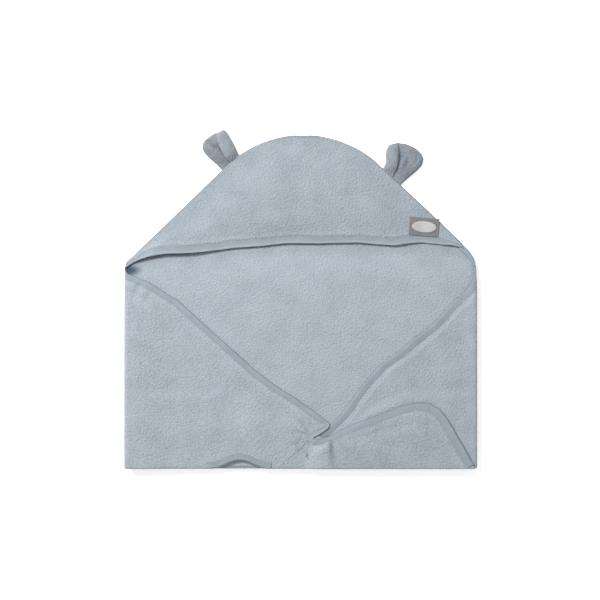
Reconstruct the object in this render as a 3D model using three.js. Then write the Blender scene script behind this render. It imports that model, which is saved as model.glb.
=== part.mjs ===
// A hooded baby towel, lying folded for display: hood and ears at +Y, the two sides folded in over the
// front, and the lower corner folded up three times behind the back. Millimetres, +Z up, and the
// origin is on the table under the middle of the folded towel.
import * as THREE from "three";

// Driving dimensions
const CLOTH = 2.5; // terry, pile included
const LAYER_GAP = 0.4; // air between two layers
const PITCH = CLOTH + LAYER_GAP;
const SEAM_GAP = 0.6; // between two panels that meet edge to edge
const HALF_WIDTH = 265; // of the folded towel
const BOTTOM_Y = -255;
const CENTRE_X = 3.4; // the hood's own middle
const CROWN_Y = 246.5;
const LEFT_SIDE = { slope: 1.035, tip: 312 }; // hood seam: half width lost per mm of height, and
const RIGHT_SIDE = { slope: 1.071, tip: 310 }; // where the seam would meet the middle
const TAIL_LENGTH = 270; // of each of the three folds behind
const TAIL_HALF_WIDTH = 257.5;
const TAIL_CORNER_RADIUS = 160;
const DRAPE = { start: 20, length: 75 }; // where the back comes down off the folded tail
const DRAPE_END = DRAPE.start + DRAPE.length;

// Edge binding: a tape folded round the edge of the cloth
const TAPE_WIDTH = 11;
const TAPE = 0.5;
const TAPE_HALF = CLOTH / 2;
const PRESSED_CLOTH = 0.8; // the cloth inside the tape
const TAPE_CLEARANCE = 0.3;
const TAPE_BACK = 1; // thickness of the tape at the outer edge

// The hood stands up a little from the back, most of all along its front edge
const DOME = { height: 12, side: 150, depth: 150 };

// Each layer's number, from the table up
const LAYER = { tail3: 0, tail2: 1, tail1: 2, back: 3, rightUnder: 4, right: 5, leftUnder: 6, left: 7 };
const middleOf = (layer) => layer * PITCH + CLOTH / 2;

// Turned-under hem along the bottom of both sides
const HEM_RADIUS = PITCH / 2;
const HEM_Y = BOTTOM_Y + CLOTH / 2 + HEM_RADIUS;
const TAIL_END = HEM_Y + TAIL_LENGTH;
const UNDER_DEPTH = 110;
const UNDER_SHARE = 0.6;
const ARCH = { middle: -92, half: 43, height: 13 }; // the hem is lifted here

// Fineness of the meshes: stretches or rows in each direction
const BACK_ROWS = { flat: 4, drape: 7, hood: 4 };
const BACK_COLUMNS = 12;
const HOOD_COLUMNS = 24;
const HOOD_ROWS = 11;
const SIDE_COLUMNS = { left: 12, corner: 12, right: 14 };
const SIDE_ROWS = { under: 2, turn: 6, above: 4 };
const FOLD_ROWS = { along: 2, around: 8 };
const TAIL_ROWS = { corner: 18, across: 2 };
const LABEL_ROWS = { across: 6, up: 4 };
const OVAL_ROWS = { across: 12, up: 4 };

const QUARTER = Math.PI / 2;
const smooth = (t) => {
  const c = THREE.MathUtils.clamp(t, 0, 1);
  return c * c * (3 - 2 * c);
};
const steps = (n, from = 0, to = 1) =>
  Array.from({ length: n + 1 }, (_, i) => from + ((to - from) * i) / n);

// Colours of the finished towel
const TERRY = new THREE.Color(0.42, 0.47, 0.52);
const TRIM = new THREE.Color(0.36, 0.42, 0.48);
const LABEL_GREY = new THREE.Color(0.23, 0.23, 0.25);
const LABEL_PALE = new THREE.Color(0.62, 0.62, 0.62);
const TRIM_ROUGHNESS = 0.8;
const LABEL_ROUGHNESS = 0.6;

const towel = new THREE.Group();

function addPiece(name, geometry, colour, roughness = 0.95) {
  const material = new THREE.MeshStandardMaterial({ color: colour, roughness, metalness: 0 });
  const mesh = new THREE.Mesh(geometry, material);
  mesh.name = name;
  towel.add(mesh);
  return mesh;
}

// A closed solid from a grid of points on its middle surface. The thickness lies along the surface's
// normal, half to each side. grid[i][j] is a Vector3, and u cross v is the side that faces up.
function clothSolid(grid, thicknessAt = () => CLOTH) {
  const rows = grid.length;
  const columns = grid[0].length;
  const clampedPoint = (i, j) =>
    grid[THREE.MathUtils.clamp(i, 0, rows - 1)][THREE.MathUtils.clamp(j, 0, columns - 1)];
  const positions = [];
  for (const side of [1, -1])
    for (let i = 0; i < rows; i++)
      for (let j = 0; j < columns; j++) {
        const u = clampedPoint(i + 1, j).clone().sub(clampedPoint(i - 1, j));
        const v = clampedPoint(i, j + 1).clone().sub(clampedPoint(i, j - 1));
        const normal = u.cross(v).normalize();
        const p = grid[i][j].clone().addScaledVector(normal, (side * thicknessAt(i, j)) / 2);
        positions.push(p.x, p.y, p.z);
      }
  const top = (i, j) => i * columns + j;
  const bottom = (i, j) => rows * columns + i * columns + j;
  const index = [];
  const quad = (a, b, c, d) => index.push(a, b, c, a, c, d);
  for (let i = 0; i + 1 < rows; i++)
    for (let j = 0; j + 1 < columns; j++) {
      quad(top(i, j), top(i + 1, j), top(i + 1, j + 1), top(i, j + 1));
      quad(bottom(i, j), bottom(i, j + 1), bottom(i + 1, j + 1), bottom(i + 1, j));
    }
  for (let i = 0; i + 1 < rows; i++) {
    quad(bottom(i, 0), bottom(i + 1, 0), top(i + 1, 0), top(i, 0));
    const last = columns - 1;
    quad(top(i, last), top(i + 1, last), bottom(i + 1, last), bottom(i, last));
  }
  for (let j = 0; j + 1 < columns; j++) {
    quad(top(0, j), top(0, j + 1), bottom(0, j + 1), bottom(0, j));
    const last = rows - 1;
    quad(bottom(last, j), bottom(last, j + 1), top(last, j + 1), top(last, j));
  }
  const geometry = new THREE.BufferGeometry();
  geometry.setAttribute("position", new THREE.Float32BufferAttribute(positions, 3));
  geometry.setIndex(index);
  return geometry;
}

// Evenly spaced points of a smooth line through a few places.
function smoothRoute(places, count) {
  const curve = new THREE.SplineCurve(places.map(([x, y]) => new THREE.Vector2(x, y)));
  return curve.getSpacedPoints(count);
}

// The directions, at each point of a route, that lead off the cloth. The cloth lies to the right of
// the way the route runs. A mitre's longer direction keeps an offset line parallel to the route.
function outwardOf(route, firstAlong, lastAlong) {
  return route.map((p, i) => {
    const before = i > 0 ? p.clone().sub(route[i - 1]).normalize() : null;
    const after = i + 1 < route.length ? route[i + 1].clone().sub(p).normalize() : null;
    const turn = (t) => new THREE.Vector2(-t.y, t.x);
    const normal = turn(before ?? after).add(turn(after ?? before)).normalize();
    const along = i === 0 ? firstAlong : after ? null : lastAlong;
    const direction = along ? new THREE.Vector2(...along) : normal.clone();
    return direction.divideScalar(direction.dot(turn(after ?? before)));
  });
}

const offsetPoint = (route, outward, i, distance) =>
  route[i].clone().addScaledVector(outward[i], distance);

// The binding tape along a route: a channel whose slot holds the pressed edge of the cloth.
function tapeSolid(route, outward, heightAt) {
  const slot = TAPE_HALF - TAPE;
  const section = [
    [0, -TAPE_HALF], [0, TAPE_HALF], [-TAPE_WIDTH, TAPE_HALF], [-TAPE_WIDTH, slot],
    [-TAPE_BACK, slot], [-TAPE_BACK, -slot], [-TAPE_WIDTH, -slot], [-TAPE_WIDTH, -TAPE_HALF],
  ];
  const positions = [];
  route.forEach((_, i) =>
    section.forEach(([distance, height]) => {
      const p = offsetPoint(route, outward, i, distance);
      positions.push(p.x, p.y, heightAt(p.x, p.y) + height);
    }),
  );
  const corners = section.length;
  const index = [];
  for (let i = 0; i + 1 < route.length; i++)
    for (let k = 0; k < corners; k++) {
      const a = i * corners + k;
      const b = i * corners + ((k + 1) % corners);
      index.push(a, b, b + corners, a, b + corners, a + corners);
    }
  const outline = section.map(([x, y]) => new THREE.Vector2(x, y));
  const end = (route.length - 1) * corners;
  for (const [a, b, c] of THREE.ShapeUtils.triangulateShape(outline, [])) {
    index.push(a, c, b);
    index.push(end + a, end + b, end + c);
  }
  const geometry = new THREE.BufferGeometry();
  geometry.setAttribute("position", new THREE.Float32BufferAttribute(positions, 3));
  geometry.setIndex(index);
  if (signedVolume(geometry) < 0) index.reverse();
  geometry.setIndex(index);
  return geometry;
}

function signedVolume(geometry) {
  const p = geometry.getAttribute("position");
  const corner = (i) => new THREE.Vector3().fromBufferAttribute(p, geometry.index.getX(i));
  let sum = 0;
  for (let i = 0; i < geometry.index.count; i += 3)
    sum += corner(i).dot(corner(i + 1).cross(corner(i + 2))) / 6;
  return sum;
}

// The distances off the edge at which a bound panel has its last rows of points, and the thickness
// there: full cloth, then pressed cloth inside the tape.
const EDGE_ROWS = [
  { distance: -TAPE_WIDTH - 2 * TAPE_CLEARANCE, thickness: CLOTH },
  { distance: -TAPE_WIDTH - TAPE_CLEARANCE, thickness: PRESSED_CLOTH },
  { distance: -TAPE_BACK - TAPE_CLEARANCE, thickness: PRESSED_CLOTH },
];

// A panel with one bound edge. innerPath(start, i) gives the points of column i from the panel's far
// side up to, and without, the first of the edge rows, whose point is start.
function boundPanel(route, outward, heightAt, innerPath) {
  const grid = route.map((_, i) => {
    const edge = EDGE_ROWS.map(({ distance }) => {
      const p = offsetPoint(route, outward, i, distance);
      return new THREE.Vector3(p.x, p.y, heightAt(p.x, p.y));
    });
    return [...innerPath(edge[0], i), ...edge];
  });
  const inner = grid[0].length - EDGE_ROWS.length;
  return clothSolid(grid, (_, j) => (j < inner ? CLOTH : EDGE_ROWS[j - inner].thickness));
}

// Half width of the hood at height y, on one side: a straight seam, then the round crown.
function hoodHalfWidth(y, { slope, tip }) {
  const lean = slope / Math.hypot(1, slope);
  const centre = (CROWN_Y - lean * tip) / (1 - lean);
  const radius = CROWN_Y - centre;
  const seamEnd = centre + lean * radius;
  if (y < seamEnd) return slope * (tip - y);
  return Math.sqrt(Math.max(0, radius ** 2 - (y - centre) ** 2));
}
const BACK_LEFT = -HALF_WIDTH + CLOTH / 2 + (LAYER.left - LAYER.back) * HEM_RADIUS;
const BACK_RIGHT = HALF_WIDTH - CLOTH / 2 - (LAYER.right - LAYER.back) * HEM_RADIUS;
const leftEdge = (y) => Math.max(CENTRE_X - hoodHalfWidth(y, LEFT_SIDE), BACK_LEFT + SEAM_GAP);
const rightEdge = (y) => Math.min(CENTRE_X + hoodHalfWidth(y, RIGHT_SIDE), BACK_RIGHT - SEAM_GAP);

// Back: flat on the folded tail, then down to the table under the hood
const backHeight = (y) =>
  CLOTH / 2 + LAYER.back * PITCH * (1 - smooth((y - DRAPE.start) / DRAPE.length));
const BACK_TOP_ROW = CROWN_Y - 0.3; // the last row keeps a little width
const HOOD_SEAM = { from: 115, to: 199 }; // the straight part of the seam, clear of the drape
const CROWN_ROWS = [212, 224, 234, 241, 245, BACK_TOP_ROW];

function backPanel() {
  const heights = [
    ...steps(BACK_ROWS.flat, HEM_Y + SEAM_GAP, 0),
    ...steps(BACK_ROWS.drape, DRAPE.start, DRAPE_END),
    ...steps(BACK_ROWS.hood, HOOD_SEAM.from, HOOD_SEAM.to),
    ...CROWN_ROWS,
  ];
  const across = steps(BACK_COLUMNS);
  return clothSolid(
    across.map((s) =>
      heights.map((y) => {
        const x = THREE.MathUtils.lerp(leftEdge(y), rightEdge(y), s);
        return new THREE.Vector3(x, y, backHeight(y));
      }),
    ),
  );
}

// Hood: a second layer on the crown, sewn to the back along both sides and open at the front
const HOOD_FRONT = [
  [241, 79], [181, 85.5], [145, 81], [80, 85], [-20, 84], [-130, 73], [-215, 66], [-250, 53],
];
function hoodHeight(x, y) {
  const side = x < CENTRE_X ? LEFT_SIDE : RIGHT_SIDE;
  const inside = side.slope * (side.tip - y) - Math.abs(x - CENTRE_X);
  const dome = DOME.height * smooth(inside / DOME.side) * smooth((CROWN_Y - y) / DOME.depth);
  return backHeight(y) + PITCH + dome;
}

const ROW_CROWDING = 1.7; // rows stand closer together towards the round crown
function hoodRoute() {
  return smoothRoute(HOOD_FRONT, HOOD_COLUMNS);
}

function hoodPanel(route, outward) {
  const [right, left] = [route[0], route.at(-1)];
  const innerPath = (start, i) => {
    const s = i / (route.length - 1);
    const chord = THREE.MathUtils.lerp(right.y, left.y, s);
    return steps(HOOD_ROWS).slice(0, -1).map((row) => {
      const t = row ** ROW_CROWDING; // 0 at the crown, 1 at the front
      const rightY = THREE.MathUtils.lerp(BACK_TOP_ROW, right.y - EDGE_ROWS[0].distance, t);
      const leftY = THREE.MathUtils.lerp(BACK_TOP_ROW, left.y - EDGE_ROWS[0].distance, t);
      const y = THREE.MathUtils.lerp(rightY, leftY, s) + t ** 2 * (route[i].y - chord);
      const x = THREE.MathUtils.lerp(rightEdge(y), leftEdge(y), s);
      return new THREE.Vector3(x, y, hoodHeight(x, y));
    });
  };
  return boundPanel(route, outward, hoodHeight, innerPath);
}

// Sides folded in over the front, each with its lower part turned under
const LEFT_TOP = 38;
const RIGHT_TOP = 34;
const LEFT_EDGE = [
  [BACK_LEFT + SEAM_GAP, LEFT_TOP], [-228, 25], [-185, -2], [-129, -52], [-68, -107], [-20, -150],
  [20, -204],
];
const LEFT_CORNER = [
  [20, -204], [66, -193], [126, -169], [171, -155], [209, -165], [231, -198], [252, -236],
];
const RIGHT_EDGE = [
  [14, -214], [34, -199], [62, -172], [102, -118], [150, -77], [200, -37], [238, 3],
  [BACK_RIGHT - SEAM_GAP, RIGHT_TOP],
];

// Height of the turned-under hem's fold line; the left side's is lifted in a low arch
const hemLift = (x) => ARCH.height * smooth(1 - Math.abs(x - ARCH.middle) / ARCH.half);

function sidePanel(route, outward, layer, lifted) {
  const height = middleOf(layer);
  const innerPath = (start) => {
    const hem = HEM_Y + (lifted ? hemLift(start.x) : 0);
    const under = hem + Math.min(UNDER_DEPTH, UNDER_SHARE * (start.y - hem));
    const at = (y, z) => new THREE.Vector3(start.x, y, z);
    const below = steps(SIDE_ROWS.under, under, hem).map((y) => at(y, height - PITCH));
    const turn = steps(SIDE_ROWS.turn, Math.PI, 0).slice(1, -1).map((a) =>
      at(hem - HEM_RADIUS * Math.sin(a), height - HEM_RADIUS + HEM_RADIUS * Math.cos(a)),
    );
    const above = steps(SIDE_ROWS.above, hem, start.y).slice(0, -1).map((y) => at(y, height));
    return [...below, ...turn, ...above];
  };
  return boundPanel(route, outward, () => height, innerPath);
}

// A strip of cloth bent round an axis: it joins two layers at a fold
function foldStrip(centre, radius, fromAngle, toAngle, axis, span) {
  return clothSolid(
    steps(FOLD_ROWS.along, ...span).map((along) =>
      steps(FOLD_ROWS.around, fromAngle, toAngle).map((angle) => {
        const out = radius * Math.cos(angle);
        const up = centre[1] + radius * Math.sin(angle);
        return axis === "y"
          ? new THREE.Vector3(centre[0] + out, along, up)
          : new THREE.Vector3(along, centre[0] + out, up);
      }),
    ),
  );
}

// One of the tail's two plain folds
function tailPanel(layer) {
  const z = middleOf(layer);
  const ends = [HEM_Y + SEAM_GAP, TAIL_END - SEAM_GAP];
  const sides = [-TAIL_HALF_WIDTH, TAIL_HALF_WIDTH];
  return clothSolid(sides.map((x) => ends.map((y) => new THREE.Vector3(x, y, z))));
}

// The towel's lower corner: the last fold of the tail, bound along its two sides and round corner
function tailCornerRoute(endY) {
  const half = TAPE_WIDTH / 2;
  const centre = endY - TAIL_CORNER_RADIUS;
  const reach = TAIL_CORNER_RADIUS * Math.SQRT1_2;
  const shoulder = centre + reach - (TAIL_HALF_WIDTH - reach);
  const path = new THREE.Path();
  path.moveTo(-TAIL_HALF_WIDTH + half, shoulder + half);
  path.lineTo(-reach, centre + reach);
  path.absarc(0, centre, TAIL_CORNER_RADIUS, (3 * Math.PI) / 4, Math.PI / 4, true);
  path.lineTo(TAIL_HALF_WIDTH - half, shoulder + half);
  return path.getSpacedPoints(TAIL_ROWS.corner);
}

function tailCorner(route, outward) {
  const height = middleOf(LAYER.tail3);
  const innerPath = (start) =>
    steps(TAIL_ROWS.across, HEM_Y + SEAM_GAP, start.y)
      .slice(0, -1)
      .map((y) => new THREE.Vector3(start.x, y, height));
  return boundPanel(route, outward, () => height, innerPath);
}

// Ears: two layers of cloth each, flat here, with the base along the hood's seam
const EAR_CLOTH = 2;
const EAR_LIFT = 0.4;
const EAR_ROUNDING = 5; // straight pieces in each bend of the outline
const LEFT_EAR = [
  [-120.5, 197.5], [-139, 215], [-147.5, 230], [-137, 244], [-116, 254.9], [-107, 242], [-94.5, 218.5],
];
const RIGHT_EAR = [
  [127.5, 199], [129.5, 221], [138, 233.5], [154, 234.5], [174, 226], [183.5, 210], [174.5, 194],
  [153.5, 175.2],
];

function earLayer(outline, level) {
  const [first, ...rest] = outline.map(([x, y]) => new THREE.Vector2(x, y));
  const shape = new THREE.Shape();
  shape.moveTo(first.x, first.y);
  shape.splineThru(rest);
  shape.closePath();
  const geometry = new THREE.ExtrudeGeometry(shape, {
    depth: EAR_CLOTH,
    bevelEnabled: false,
    curveSegments: EAR_ROUNDING,
  });
  geometry.translate(0, 0, EAR_LIFT + level * (EAR_CLOTH + LAYER_GAP));
  return geometry;
}

// Label: a woven patch at the hood's right, with a plain oval on it
const LABEL = { x: 185.6, y: 108.7, width: 45, height: 27.5, turnDegrees: -4.5, thick: 0.7 };
const LABEL_TURN = THREE.MathUtils.degToRad(LABEL.turnDegrees);
const OVAL = { width: 37, height: 17, thick: 0.5, endShare: 0.98 }; // its two ends are left square

// A flat piece that lies on the hood: u and v run over a disc or a rectangle around the label's middle
function onHood(points, clearance, thickness) {
  const turned = (u, v) => {
    const c = Math.cos(LABEL_TURN);
    const s = Math.sin(LABEL_TURN);
    return [LABEL.x + c * u - s * v, LABEL.y + s * u + c * v];
  };
  return clothSolid(
    points.map((row) =>
      row.map(([u, v]) => {
        const [x, y] = turned(u, v);
        return new THREE.Vector3(x, y, hoodHeight(x, y) + CLOTH / 2 + clearance + thickness / 2);
      }),
    ),
    () => thickness,
  );
}

function labelBase() {
  const { width, height, thick } = LABEL;
  const points = steps(LABEL_ROWS.across, -width / 2, width / 2).map((u) =>
    steps(LABEL_ROWS.up, -height / 2, height / 2).map((v) => [u, v]),
  );
  return onHood(points, LAYER_GAP, thick);
}

function labelOval() {
  // columns across the oval, each as tall as the oval is there
  const points = steps(OVAL_ROWS.across, -OVAL.endShare, OVAL.endShare).map((s) => {
    const half = (OVAL.height / 2) * Math.sqrt(1 - s * s);
    return steps(OVAL_ROWS.up, -half, half).map((v) => [(s * OVAL.width) / 2, v]);
  });
  return onHood(points, LAYER_GAP + LABEL.thick + LAYER_GAP, OVAL.thick);
}

// Assembly
addPiece("back_panel", backPanel(), TERRY);

const hoodEdge = hoodRoute();
const hoodOutward = outwardOf(hoodEdge);
addPiece("hood_panel", hoodPanel(hoodEdge, hoodOutward), TERRY);
addPiece("hood_binding", tapeSolid(hoodEdge, hoodOutward, hoodHeight), TRIM, TRIM_ROUGHNESS);

const flatTape = (route, outward, layer) => tapeSolid(route, outward, () => middleOf(layer));
const leftRoute = [
  ...smoothRoute(LEFT_EDGE, SIDE_COLUMNS.left),
  ...smoothRoute(LEFT_CORNER, SIDE_COLUMNS.corner).slice(1),
];
const leftOutward = outwardOf(leftRoute, [0, 1]);
addPiece("left_side_panel", sidePanel(leftRoute, leftOutward, LAYER.left, true), TERRY);
addPiece("left_side_binding", flatTape(leftRoute, leftOutward, LAYER.left), TRIM, TRIM_ROUGHNESS);

const rightRoute = smoothRoute(RIGHT_EDGE, SIDE_COLUMNS.right);
const rightOutward = outwardOf(rightRoute, undefined, [0, 1]);
addPiece("right_side_panel", sidePanel(rightRoute, rightOutward, LAYER.right, false), TERRY);
addPiece("right_side_binding", flatTape(rightRoute, rightOutward, LAYER.right), TRIM, TRIM_ROUGHNESS);

const sideFold = (x, layer, angles, top) => {
  const centre = [x, (middleOf(LAYER.back) + middleOf(layer)) / 2];
  const radius = (middleOf(layer) - middleOf(LAYER.back)) / 2;
  return foldStrip(centre, radius, ...angles, "y", [HEM_Y, top]);
};
addPiece("left_fold", sideFold(BACK_LEFT, LAYER.left, [3 * QUARTER, QUARTER], LEFT_TOP), TERRY);
addPiece("right_fold", sideFold(BACK_RIGHT, LAYER.right, [-QUARTER, QUARTER], RIGHT_TOP), TERRY);

// The tail's three folds and the bends between them, from the one under the back down to the table
const tailFold = (y, layer, angles) => {
  const centre = [y, middleOf(layer) - PITCH / 2];
  return foldStrip(centre, HEM_RADIUS, ...angles, "x", [-TAIL_HALF_WIDTH, TAIL_HALF_WIDTH]);
};
const LOW_BEND = [QUARTER, 3 * QUARTER];
const HIGH_BEND = [QUARTER, -QUARTER];
addPiece("bottom_fold", tailFold(HEM_Y, LAYER.back, LOW_BEND), TERRY);
addPiece("tail_panel_1", tailPanel(LAYER.tail1), TERRY);
addPiece("tail_fold_upper", tailFold(TAIL_END, LAYER.tail1, HIGH_BEND), TERRY);
addPiece("tail_panel_2", tailPanel(LAYER.tail2), TERRY);
addPiece("tail_fold_lower", tailFold(HEM_Y, LAYER.tail2, LOW_BEND), TERRY);

const tailRoute = tailCornerRoute(TAIL_END);
const tailOutward = outwardOf(tailRoute, [0, 1], [0, 1]);
addPiece("tail_corner", tailCorner(tailRoute, tailOutward), TERRY);
addPiece("tail_binding", flatTape(tailRoute, tailOutward, LAYER.tail3), TRIM, TRIM_ROUGHNESS);

for (const [side, outline] of [["left", LEFT_EAR], ["right", RIGHT_EAR]]) {
  addPiece(`${side}_ear_back`, earLayer(outline, 0), TRIM);
  addPiece(`${side}_ear_front`, earLayer(outline, 1), TERRY);
}

addPiece("label", labelBase(), LABEL_GREY, LABEL_ROUGHNESS);
addPiece("label_oval", labelOval(), LABEL_PALE, LABEL_ROUGHNESS);

export default towel;
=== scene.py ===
"""Looks of the hooded baby towel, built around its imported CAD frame.

Lengths in this file are millimetres until a mesh is made, when they become metres. Each cloth is a
closed sheet of terry with its own relief, and each bound edge is a tape folded round it, with stitches.
"""

import math

import bmesh
import bpy
import numpy as np
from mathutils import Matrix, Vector


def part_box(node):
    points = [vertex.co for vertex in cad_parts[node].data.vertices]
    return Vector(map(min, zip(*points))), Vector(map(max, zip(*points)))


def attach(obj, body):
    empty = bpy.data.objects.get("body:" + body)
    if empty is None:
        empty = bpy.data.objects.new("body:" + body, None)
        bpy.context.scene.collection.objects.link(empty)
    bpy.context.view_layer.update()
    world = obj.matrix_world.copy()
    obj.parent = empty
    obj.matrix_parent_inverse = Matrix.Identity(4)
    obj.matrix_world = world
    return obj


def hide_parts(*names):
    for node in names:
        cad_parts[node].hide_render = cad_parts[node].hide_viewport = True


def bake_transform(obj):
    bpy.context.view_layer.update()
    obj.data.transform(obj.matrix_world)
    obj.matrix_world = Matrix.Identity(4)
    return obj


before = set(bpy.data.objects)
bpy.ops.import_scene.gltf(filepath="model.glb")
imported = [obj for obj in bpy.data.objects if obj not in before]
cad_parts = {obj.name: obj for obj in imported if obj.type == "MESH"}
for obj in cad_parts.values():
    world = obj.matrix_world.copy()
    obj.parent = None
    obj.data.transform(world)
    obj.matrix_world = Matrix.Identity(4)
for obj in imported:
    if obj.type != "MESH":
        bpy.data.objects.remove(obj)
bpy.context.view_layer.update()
MM = 1000.0


def mm_box(node):
    low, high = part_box(node)
    return np.array(low) * MM, np.array(high) * MM


# ---------------------------------------------------------------- sizes, all taken from the CAD frame
tail2_low, tail2_high = mm_box("tail_panel_2")
left_fold_low, left_fold_high = mm_box("left_fold")
right_fold_low, right_fold_high = mm_box("right_fold")
bottom_low, bottom_high = mm_box("bottom_fold")
upper_low, upper_high = mm_box("tail_fold_upper")
back_low, back_high = mm_box("back_panel")

CLOTH = tail2_high[2] - tail2_low[2]
PITCH = mm_box("tail_panel_1")[0][2] - tail2_low[2]
HALF_WIDTH = -left_fold_low[0]
HEM_Y = bottom_high[1]
HEM_RADIUS = PITCH / 2
BACK_Z = left_fold_low[2] + CLOTH / 2
LEFT_Z = left_fold_high[2] - CLOTH / 2
RIGHT_Z = right_fold_high[2] - CLOTH / 2
BACK_LEFT, BACK_RIGHT = left_fold_high[0], right_fold_low[0]
LEFT_RADIUS, RIGHT_RADIUS = (LEFT_Z - BACK_Z) / 2, (RIGHT_Z - BACK_Z) / 2
TAIL_END = upper_low[1]
CROWN_Y = back_high[1]
TABLE_Z = CLOTH / 2  # middle height of the cloth that lies on the table

# The hood's outline, and where the back comes down off the folded tail
CENTRE_X = 3.4
LEFT_SEAM, RIGHT_SEAM = (1.035, 312.0), (1.071, 310.0)  # half width lost per mm of height, tip
DRAPE_START, DRAPE_LENGTH = 20.0, 75.0
TAPE_WIDTH = 11.0
ARCH_MIDDLE, ARCH_HALF, ARCH_HEIGHT = -92.0, 43.0, 13.0
UNDER_DEPTH, UNDER_SHARE = 110.0, 0.6

# Bound edges: places along them, and for the left side also where each column of cloth meets the hem
HOOD_FRONT = [
    (246, 76), (233, 80.5), (217, 81.8), (199, 83.2), (181, 85.6), (163, 83.8), (142, 80.4), (115, 82.4),
    (85, 84.9), (30, 83.6), (-21, 84), (-60, 79.5), (-99, 77), (-128, 73), (-165, 69), (-205, 68),
    (-230, 63.5), (-248, 57), (-256, 52.5), (-263, 47),
]
LEFT_ROUTE = [
    (-259.5, 38, -257), (-246, 32.5, -247), (-228, 25, -231), (-185, -1.5, -193), (-129, -52, -148),
    (-68, -107, -105), (-36, -131, -84), (-1, -153, -66), (28, -174.5, -44), (45, -188, -30),
    (42, -194, -22), (31, -202, -6), (17, -209.5, 12), (28, -210.5, 26), (46, -205, 43), (66, -193, 64),
    (96, -181, 95), (126, -169, 124), (149, -160, 148), (171, -155, 171), (194, -156, 193),
    (209, -165, 209), (219, -178, 218), (231, -198, 230), (243, -219, 243), (253, -237, 255),
    (259, -248, 260.5),
]
RIGHT_ROUTE = [
    (14, -214), (34, -199), (62, -172), (80, -147), (102, -118), (125, -94), (150, -77), (175, -56),
    (200, -36.5), (229, -4), (243, 8), (255, 21), (260.5, 33), (261, 44), (258, 55), (249, 67), (238, 76),
]
PINCH = (18.0, -208.0)
PINCH_END, PINCH_EDGE = -214, PINCH[0] - 4  # below this y, the right side starts at this x
CORNER_Y = 47.0  # above this the right edge stays under the hood when the side is unfolded
PRESSED = 0.7  # cloth inside a tape
TAPE_COVER = 9.5  # how far in from its edge a tape hides the cloth
RIDGE_AT = 16  # the cloth swells a little just inside a tape
FAR = 99.0  # a distance beyond the reach of any shading
RING_COLUMNS = 13  # columns of the left side's cloth that go round its fold
HEM_TURN_STEPS, HEM_UNDER_STEPS = 8, 34
# Where each cloth and tape lies on the plane that its pattern is drawn on, so that no two match
RIGHT_PLACE, LEFT_PLACE, CORNER_PLACE, UNDERSIDE_PLACE = 700, -900, 4000, (811, -377)


def smooth(t):
    c = np.clip(t, 0, 1)
    return c * c * (3 - 2 * c)


def bump(t):
    """1 at t 0, falling smoothly to nothing."""
    return np.exp(-t * t)


def stack(x, y, z):
    return np.stack([x, y, z], -1)


def run_along(points):
    """How far along its line each point lies."""
    return np.r_[0, np.cumsum(np.linalg.norm(np.diff(points, axis=0), axis=1))]


def resampled(at, run, line):
    return np.stack([np.interp(at, run, line[:, k]) for k in range(line.shape[1])], 1)


def noise(seed, cell):
    """A smooth random height from -1 to 1 over the plane, with features about as wide as two cells."""
    table = np.random.default_rng(seed).uniform(-1, 1, (256, 256))
    turn = 0.6 + 0.37 * seed
    c, s = math.cos(turn), math.sin(turn)

    def at(x, y):
        u, v = (c * x - s * y) / cell, (s * x + c * y) / cell
        i, j = np.floor(u).astype(int), np.floor(v).astype(int)
        fu, fv = smooth(u - i), smooth(v - j)
        a, b = i & 255, j & 255
        a1, b1 = (i + 1) & 255, (j + 1) & 255
        low = table[a, b] * (1 - fu) + table[a1, b] * fu
        high = table[a, b1] * (1 - fu) + table[a1, b1] * fu
        return low * (1 - fv) + high * fv

    return at


swell, ripple = noise(3, 70), noise(4, 24)
loops_wide, loops, loops_fine = noise(5, 7.5), noise(6, 3.4), noise(7, 2.1)
tape_ripple, tape_pucker = noise(8, 9.0), noise(9, 2.6)


FINE_STEP = 0.5  # between points while a line is being smoothed


def even_line(points, step, blur):
    """A line through the places, resampled evenly and rounded off at its corners."""
    p = np.array(points, float)
    run = run_along(p[:, :2])
    line = resampled(np.arange(0, run[-1], FINE_STEP), run, p)
    size = int(blur / FINE_STEP) * 3
    kernel = bump(np.arange(-size, size + 1) * FINE_STEP / blur)
    kernel /= kernel.sum()
    ends = [2 * line[0] - line[size:0:-1], line, 2 * line[-1] - line[-2:-size - 2:-1]]
    padded = np.concatenate(ends)
    line = np.stack([np.convolve(padded[:, k], kernel, "valid") for k in range(p.shape[1])], 1)
    run = run_along(line[:, :2])
    return resampled(np.linspace(0, run[-1], int(run[-1] / step) + 1), run, line)


def distance_to(line, x, y):
    """How far each point is from a line of points, in the plane."""
    flat = np.stack([np.ravel(x), np.ravel(y)], 1)
    best = np.full(len(flat), 1e9)
    for p in line[::3]:
        best = np.minimum(best, (flat[:, 0] - p[0]) ** 2 + (flat[:, 1] - p[1]) ** 2)
    return np.sqrt(best).reshape(np.shape(x))


hood_line = even_line(HOOD_FRONT, 2.0, 6.0)
left_line = even_line(LEFT_ROUTE, 2.2, 3.0)
right_line = even_line(RIGHT_ROUTE, 2.2, 5.0)


# ---------------------------------------------------------------- how high each layer lies
def back_height(y):
    return TABLE_Z + (BACK_Z - TABLE_Z) * (1 - smooth((y - DRAPE_START) / DRAPE_LENGTH))


def settle(x, y, z):
    """The stack isn't quite even: everything rises and falls together, most of all at the top."""
    lift = np.clip(z / LEFT_Z, 0, 1.4)
    return z + lift * (0.9 * swell(x, y) + 0.35 * ripple(x, y))


def left_radius(y):
    return LEFT_RADIUS * (1 - 0.6 * smooth((y + 45) / 90))


def right_radius(y):
    return RIGHT_RADIUS * (1 - 0.42 * smooth((y - 10) / 60))


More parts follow.
